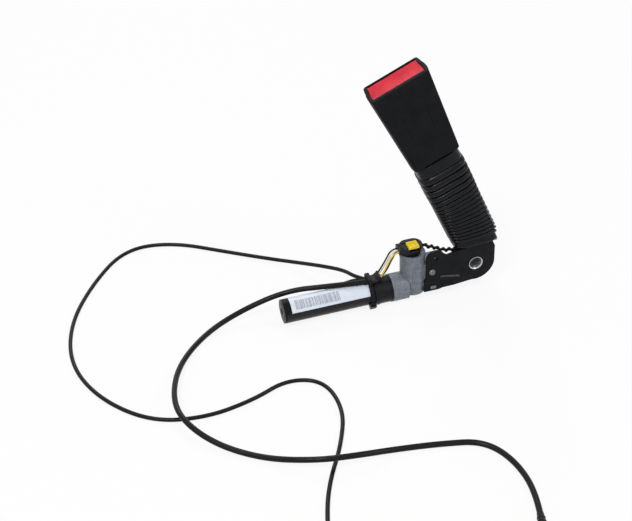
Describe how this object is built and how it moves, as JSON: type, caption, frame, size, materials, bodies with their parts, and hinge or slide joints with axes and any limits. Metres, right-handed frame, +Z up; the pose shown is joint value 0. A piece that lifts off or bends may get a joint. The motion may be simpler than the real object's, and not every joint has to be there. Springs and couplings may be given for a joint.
{
  "type": "seat belt buckle pretensioner",
  "caption": "Buckle pretensioner: a gas driven piston tube pulls a wire rope round the mounting eye and draws down a booted seat belt buckle with a red release button.",
  "frame": {"origin": "centre of the mounting eye on the middle plane of the bracket", "axes": "+X along the pretensioner tube from its closed end towards the eye, +Y along the mounting eye away from the viewer, +Z up"},
  "size_m": [0.3754, 0.4647, 0.2253],
  "materials": {
    "bracket_black": "satin black coating",
    "tube_black": "gloss black paint",
    "plated_steel": "bright zinc",
    "cast_grey": "matt die cast",
    "rope_steel": "galvanised strands",
    "spring_steel": "bright",
    "pin_brass": "bright",
    "black_plastic": "fine moulded grain",
    "yellow_plastic": "smooth",
    "red_plastic": "smooth",
    "white_plastic": "smooth",
    "boot_rubber": "satin",
    "cord_black": "satin",
    "lead_black": "smooth",
    "lead_yellow": "smooth",
    "lead_white": "smooth"
  },
  "bodies": {
    "base": {"bracket_front": "bracket_black", "bracket_rear": "bracket_black", "bracket_spacer": "bracket_black", "mounting_bush": "plated_steel", "cable_guide": "plated_steel", "rope_wrap": "rope_steel", "rope_tube_run": "rope_steel", "rope_stalk_run": "rope_steel", "bracket_rivet": "plated_steel", "housing": "cast_grey", "rope_seal": "boot_rubber", "piston_tube": "tube_black", "tube_end_plug": "black_plastic", "tube_sleeve": "boot_rubber", "cable_tie": "black_plastic", "gas_generator": "plated_steel", "generator_clip": "plated_steel", "igniter": "pin_brass", "squib_connector": "black_plastic", "lead_black": "lead_black", "lead_yellow": "lead_yellow", "lead_white": "lead_white", "switch_lead": "lead_black", "switch_lead_stalk": "lead_black", "boot": "boot_rubber", "thin_cord": "cord_black", "thick_cord": "cord_black", "thin_plug": "yellow_plastic", "thin_plug_insert": "black_plastic", "thick_plug": "white_plastic", "thick_plug_insert": "black_plastic"},
    "piston_set": {"piston": "plated_steel", "lock_balls": "plated_steel", "piston_seal": "boot_rubber", "rope_end_ferrule": "plated_steel"},
    "buckle": {"buckle_front_shell": "black_plastic", "buckle_rear_shell": "black_plastic", "buckle_channel": "plated_steel", "rope_ferrule_upper": "plated_steel", "rope_anchor_rivet": "plated_steel", "latch_pin": "plated_steel", "latch_springs": "spring_steel", "button_springs": "spring_steel", "ejector_springs": "spring_steel", "buckle_switch": "black_plastic"},
    "button": {"release_button": "red_plastic"},
    "latch_lever": {"latch": "plated_steel"},
    "ejector_slider": {"ejector": "white_plastic"},
    "plug_lock": {"connector_lock": "yellow_plastic"}
  },
  "joints": [
    {"name": "buckle_travel", "type": "slide", "parent": "base", "child": "buckle", "axis": [0.3987, 0, -0.9171], "range_m": [0, 0.055], "deforming": ["boot", "rope_stalk_run", "switch_lead_stalk"]},
    {"name": "piston_slide", "type": "slide", "parent": "base", "child": "piston_set", "axis": [-1, 0, 0], "range_m": [0, 0.055], "deforming": ["rope_tube_run"]},
    {"name": "button_press", "type": "slide", "parent": "buckle", "child": "button", "axis": [0.3987, 0, -0.9171], "range_m": [0, 0.0045], "stiffness_N_per_m": 1200, "springref_m": -0.003, "deforming": ["button_springs"]},
    {"name": "latch_pivot", "type": "hinge", "parent": "buckle", "child": "latch_lever", "pos_m": [-0.04813, 0, 0.13828], "axis": [0.9171, 0, 0.3987], "range_deg": [0, 10], "deforming": ["latch_springs"]},
    {"name": "ejector_slide", "type": "slide", "parent": "buckle", "child": "ejector_slider", "axis": [0.3987, 0, -0.9171], "range_m": [0, 0.009], "stiffness_N_per_m": 250, "springref_m": -0.006, "deforming": ["ejector_springs"]},
    {"name": "plug_lock_slide", "type": "slide", "parent": "base", "child": "plug_lock", "axis": [0, 0, 1], "range_m": [0, 0.003]}
  ],
  "couplings": [
    {"joint": "piston_slide", "follows": "buckle_travel", "ratio": 1},
    {"joint": "latch_pivot", "follows": "button_press", "rad_per_m": 38.7}
  ]
}
